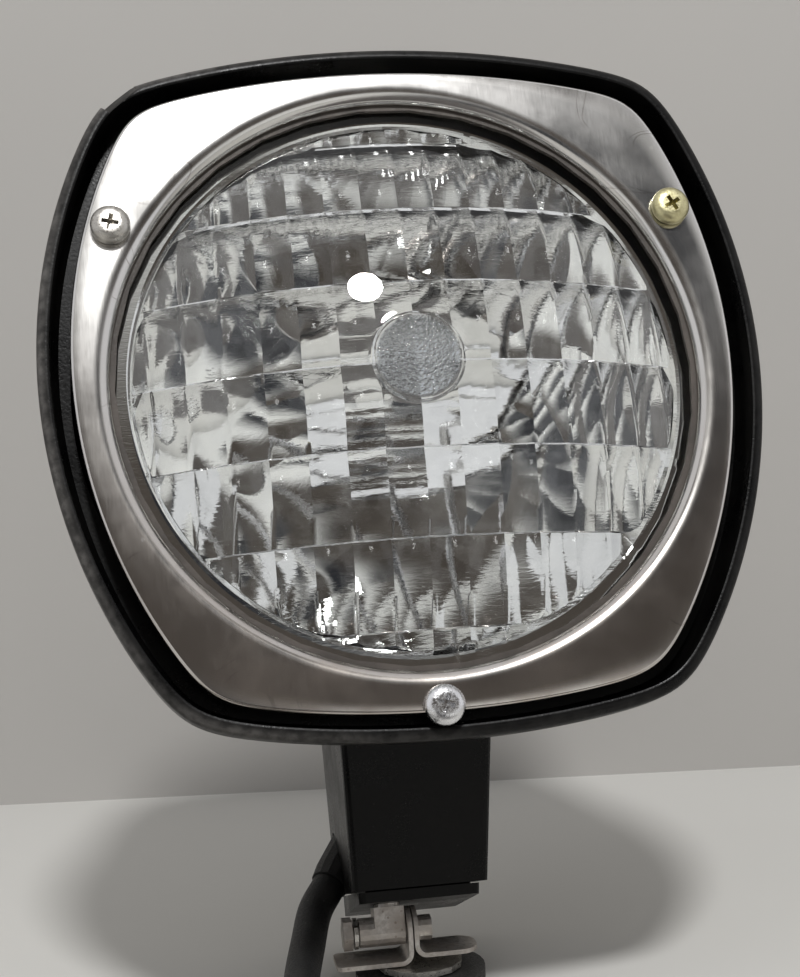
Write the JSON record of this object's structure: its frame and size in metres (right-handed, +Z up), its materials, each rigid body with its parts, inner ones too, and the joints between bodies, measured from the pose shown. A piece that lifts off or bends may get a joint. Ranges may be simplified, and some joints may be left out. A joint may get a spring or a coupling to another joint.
{
  "type": "sealed-beam work lamp",
  "caption": "Sealed-beam work lamp: round fluted lens in a brushed rounded-square bezel, black moulded housing and neck, on a tilting steel foot with a threaded stud.",
  "frame": {"origin": "centre of the foot pad's underside, on the stud's axis", "axes": "+Z up from the mounting surface, the lamp faces -Y with its head leaning back, +X to the right of someone facing the lens"},
  "size_m": [0.1872, 0.182, 0.1987],
  "materials": {
    "black_plastic": "moulded black plastic, semi-gloss, scuffed at the rim",
    "stainless": "brushed stainless sheet with fine vertical grain and light scratches",
    "zinc_plate": "dull zinc plate",
    "yellow_chromate": "yellow chromate over zinc",
    "bright_steel": "bright plated steel",
    "lens_glass": "clear pressed glass, smooth outside, fluted inside",
    "mirror_glass": "pressed glass bowl with an aluminised inner face",
    "tungsten": "dark drawn wire",
    "brass": "plain brass",
    "black_rubber": "matt black rubber",
    "foot_steel": "plated steel with brown rust bloom",
    "red_wire": "red insulated core"
  },
  "bodies": {
    "root": {"mount_pad": "black_rubber", "mount_washer": "zinc_plate", "mount_nut": "zinc_plate"},
    "foot": {"foot_angle_left": "foot_steel", "foot_angle_right": "foot_steel", "mount_stud": "zinc_plate", "tilt_bolt": "foot_steel", "tilt_washer": "zinc_plate", "cord_tube": "black_rubber", "cord_coil": "black_rubber", "cord_tie": "black_rubber", "cord_connector": "black_rubber", "connector_pin_left": "brass", "connector_pin_right": "brass"},
    "head": {"housing": "black_plastic", "neck": "black_plastic", "neck_plug": "black_plastic", "bezel": "stainless", "bezel_screw_left": "zinc_plate", "lamp_seat_ring": "zinc_plate", "wire_lug_left": "zinc_plate", "wire_lug_right": "zinc_plate", "neck_screw_left": "zinc_plate", "neck_screw_right": "zinc_plate", "plug_screw": "zinc_plate", "knuckle_nut": "zinc_plate", "bezel_screw_right": "yellow_chromate", "bezel_screw_bottom": "bright_steel", "filament_post_left": "bright_steel", "filament_post_right": "bright_steel", "lens": "lens_glass", "reflector": "mirror_glass", "filament": "tungsten", "terminal_left": "brass", "terminal_right": "brass", "terminal_screw_left": "brass", "terminal_screw_right": "brass", "lens_gasket": "black_rubber", "cord_gland": "black_rubber", "lead_wire_right": "black_rubber", "tilt_knuckle": "foot_steel", "lead_wire_left": "red_wire"}
  },
  "joints": [
    {"name": "foot_swivel", "type": "hinge", "parent": "root", "child": "foot", "pos_m": [0, 0, 0], "axis": [0, 0, 1], "range_deg": [-120, 120]},
    {"name": "head_tilt", "type": "hinge", "parent": "foot", "child": "head", "pos_m": [0, 0, 0.0103], "axis": [1, 0, 0], "range_deg": [-12, 35], "deforming": ["cord_tube"]}
  ]
}
